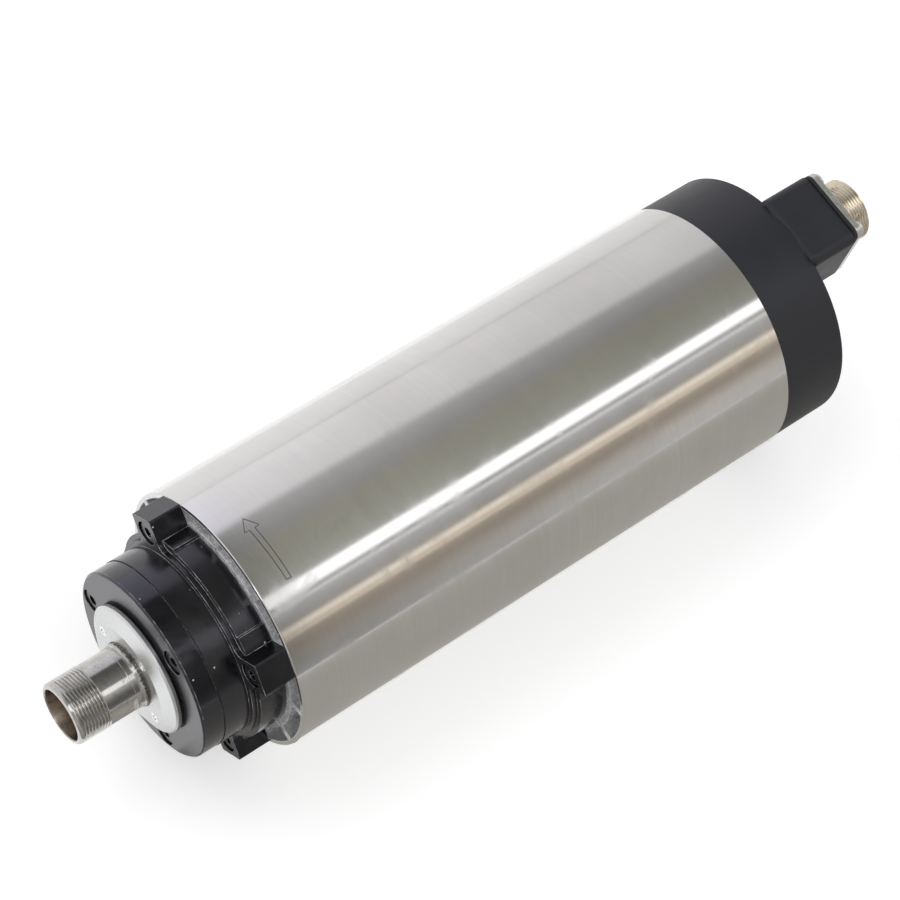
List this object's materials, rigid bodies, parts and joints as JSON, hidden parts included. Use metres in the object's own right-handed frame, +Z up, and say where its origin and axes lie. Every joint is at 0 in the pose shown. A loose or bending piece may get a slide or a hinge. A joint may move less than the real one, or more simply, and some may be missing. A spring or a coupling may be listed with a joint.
{
  "type": "motor spindle",
  "caption": "Air-cooled motor spindle: round steel body with a collet taper and nose thread at the front, and a rear cover with a connector box.",
  "frame": {"origin": "on the spindle axis, at the middle of the steel sleeve's clamping length", "axes": "+X along the spindle axis from the nose to the rear cover, +Z up through the connector box"},
  "size_m": [0.2793, 0.08, 0.0807],
  "materials": {
    "sleeve_steel": "turned stainless steel, fine lines round the body",
    "raw_aluminium": "raw extruded and cast aluminium",
    "black_gloss": "glossy black anodised",
    "black_screw": "black oxide",
    "satin_aluminium": "satin blasted",
    "ground_steel": "ground steel",
    "bearing_steel": "polished bearing steel",
    "cage_plastic": "phenolic cage",
    "core_steel": "laminated electrical steel",
    "copper": "enamelled copper",
    "spring_steel": "spring steel",
    "fan_plastic": "moulded",
    "black_matte": "matte black coating",
    "gasket_rubber": "moulded rubber",
    "connector_nickel": "nickel plated brass",
    "insert_plastic": "moulded",
    "contact_brass": "bare brass",
    "lead_insulation": "silicone insulation"
  },
  "bodies": {
    "housing": {"connector_gasket": "gasket_rubber", "connector_insert": "insert_plastic", "connector_pins": "contact_brass", "connector_screws": "connector_nickel", "connector_shell": "connector_nickel", "ear_screws": "black_screw", "front_bearing_1_outer_ring": "bearing_steel", "front_bearing_2_outer_ring": "bearing_steel", "front_cover": "black_gloss", "front_cover_screws": "black_screw", "front_end_turn": "copper", "front_flange": "black_gloss", "lead_wires": "lead_insulation", "outer_sleeve": "sleeve_steel", "outer_spacer": "bearing_steel", "preload_spring": "spring_steel", "rear_bearing_outer_ring": "bearing_steel", "rear_cover": "black_matte", "rear_cover_screws": "black_screw", "rear_end_turn": "copper", "rear_shield": "raw_aluminium", "slot_conductors": "copper", "stator_core": "core_steel", "stator_housing": "raw_aluminium"},
    "rotor": {"spindle_shaft": "ground_steel", "dust_cap": "satin_aluminium", "rotor_core": "core_steel", "rotor_end_ring_front": "raw_aluminium", "rotor_end_ring_rear": "raw_aluminium", "front_bearing_1_inner_ring": "bearing_steel", "front_bearing_2_inner_ring": "bearing_steel", "rear_bearing_inner_ring": "bearing_steel", "inner_spacer": "bearing_steel", "fan_spacer": "bearing_steel", "cooling_fan": "fan_plastic", "fan_screw": "black_screw"},
    "front_cage_1": {"front_bearing_1_balls": "bearing_steel", "front_bearing_1_cage": "cage_plastic"},
    "front_cage_2": {"front_bearing_2_balls": "bearing_steel", "front_bearing_2_cage": "cage_plastic"},
    "rear_cage": {"rear_bearing_balls": "bearing_steel", "rear_bearing_cage": "cage_plastic"}
  },
  "joints": [
    {"name": "spindle_spin", "type": "hinge", "parent": "housing", "child": "rotor", "pos_m": [0, 0, 0], "axis": [1, 0, 0], "continuous": true},
    {"name": "front_cage_1_spin", "type": "hinge", "parent": "housing", "child": "front_cage_1", "pos_m": [-0.0994, 0, 0], "axis": [1, 0, 0], "continuous": true},
    {"name": "front_cage_2_spin", "type": "hinge", "parent": "housing", "child": "front_cage_2", "pos_m": [-0.0834, 0, 0], "axis": [1, 0, 0], "continuous": true},
    {"name": "rear_cage_spin", "type": "hinge", "parent": "housing", "child": "rear_cage", "pos_m": [0.0745, 0, 0], "axis": [1, 0, 0], "continuous": true}
  ],
  "couplings": [
    {"joint": "front_cage_1_spin", "follows": "spindle_spin", "ratio": 0.3968},
    {"joint": "front_cage_2_spin", "follows": "spindle_spin", "ratio": 0.3968},
    {"joint": "rear_cage_spin", "follows": "spindle_spin", "ratio": 0.3979}
  ]
}
